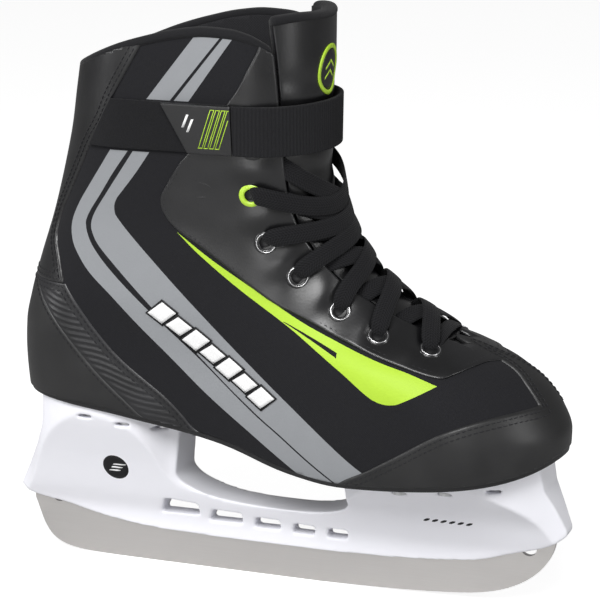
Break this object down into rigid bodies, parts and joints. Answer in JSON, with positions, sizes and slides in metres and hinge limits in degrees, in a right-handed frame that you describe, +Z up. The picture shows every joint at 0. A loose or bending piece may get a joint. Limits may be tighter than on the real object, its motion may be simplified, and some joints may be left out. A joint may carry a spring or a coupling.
{
  "type": "ice skate",
  "caption": "Laced right-foot ice skate: padded boot with hook-and-loop ankle strap and flexing tongue, on a plastic holder with a steel runner.",
  "frame": {"origin": "on the flat of the runner's lower edge, under the middle of the skate's length and width", "axes": "+X towards the toe, +Y towards the inner side of the foot, +Z up"},
  "size_m": [0.2962, 0.0964, 0.2934],
  "materials": {
    "quarter_fabric": "coarse woven, matte",
    "upper_leather": "smooth synthetic leather, satin",
    "guard_leather": "fine grain synthetic leather, matte satin",
    "ribbed_panel": "embossed diagonal ribs",
    "lining_fabric": "brushed lining",
    "foam": "soft foam",
    "binding": "knitted edge binding",
    "webbing": "ribbed webbing",
    "hook_fabric": "hook and loop",
    "lace_fabric": "flat woven lace",
    "eyelet_black": "gloss black",
    "accent_green": "satin lime green",
    "rivet_steel": "bright",
    "runner_steel": "brushed, lengthwise grain",
    "holder_plastic": "white, satin gloss",
    "outsole_plastic": "matte black",
    "insole_fibre": "pressed fibreboard",
    "footbed_fabric": "felt",
    "stiffener_plastic": "thermoplastic sheet"
  },
  "bodies": {
    "root": {"toe_cap": "guard_leather", "heel_counter": "guard_leather", "quarter_lateral": "quarter_fabric", "quarter_medial": "quarter_fabric", "eyestay_lateral": "upper_leather", "eyestay_medial": "upper_leather", "heel_panel_lateral": "ribbed_panel", "heel_panel_medial": "ribbed_panel", "back_stay": "upper_leather", "heel_stiffener": "stiffener_plastic", "toe_puff": "stiffener_plastic", "ankle_padding": "foam", "inner_lining": "lining_fabric", "collar_binding": "binding", "outsole": "outsole_plastic", "insole_board": "insole_fibre", "footbed": "footbed_fabric", "tongue_face": "upper_leather", "tongue_padding": "foam", "strap_anchor": "webbing", "hook_patch": "hook_fabric", "eyelets_lateral": "eyelet_black", "eyelets_medial": "eyelet_black", "coloured_eyelets": "accent_green", "lace_under": "lace_fabric", "lace_over": "lace_fabric", "runner": "runner_steel", "heel_rivets": "rivet_steel", "toe_rivets": "rivet_steel", "blade_holder": "holder_plastic"},
    "strap": {"strap_webbing": "webbing"},
    "tab": {"tab_hook_pad": "hook_fabric", "tab_leather": "upper_leather"},
    "tongue_tip": {"tongue_tip_face": "upper_leather", "tongue_tip_padding": "lining_fabric", "tongue_binding": "binding", "tongue_badge": "accent_green"}
  },
  "joints": [
    {"name": "strap_swing", "type": "hinge", "parent": "root", "child": "strap", "pos_m": [-0.002, 0.04475, 0.2382], "axis": [0, 0, 1], "range_deg": [0, 110]},
    {"name": "tab_peel", "type": "hinge", "parent": "strap", "child": "tab", "pos_m": [-0.0138, -0.04534, 0.2382], "axis": [0, 0, 1], "range_deg": [0, 95]},
    {"name": "tongue_flex", "type": "hinge", "parent": "root", "child": "tongue_tip", "pos_m": [0.0222, 0, 0.2513], "axis": [0, 1, 0], "range_deg": [0, 35], "stiffness_Nm_per_rad": 0.4}
  ]
}
